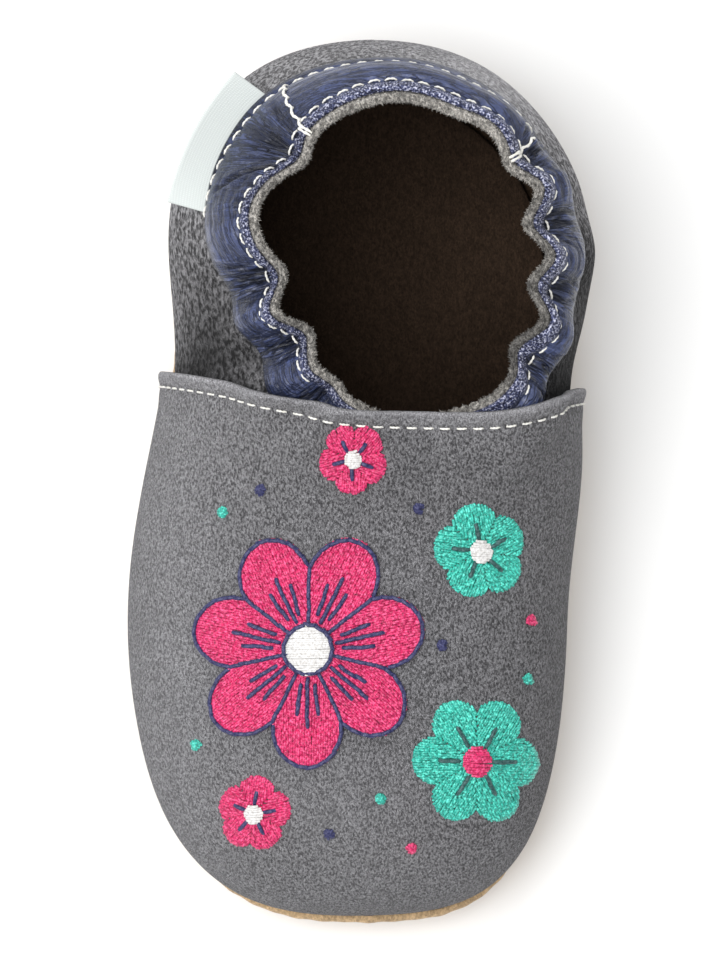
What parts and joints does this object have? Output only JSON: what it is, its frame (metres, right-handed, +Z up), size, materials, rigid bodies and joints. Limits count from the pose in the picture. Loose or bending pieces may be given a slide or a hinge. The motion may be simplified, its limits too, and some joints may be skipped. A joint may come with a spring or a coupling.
{
  "type": "baby crawling shoe",
  "caption": "Soft baby crawling shoe for the right foot: hollow suede upper, overlapping front panel, gathered elastic collar and a thin sole curled up to its seam.",
  "frame": {"origin": "middle of the shoe's box at floor level, under the sole", "axes": "+Z up; the heel towards +Y and the toe towards -Y; the inner side of the foot towards +X"},
  "size_m": [0.069, 0.1306, 0.0495],
  "materials": {
    "tan_suede": "matt nap",
    "brown_suede": "matt nap",
    "grey_suede": "matt nap",
    "grey_vamp_suede": "matt nap",
    "blue_nappa": "smooth, half gloss",
    "white_ribbon": "woven, matt"
  },
  "bodies": {
    "root": {"sole": "tan_suede", "insole": "brown_suede", "upper": "grey_suede", "vamp": "grey_vamp_suede", "collar_casing": "blue_nappa", "side_label": "white_ribbon"}
  },
  "joints": []
}
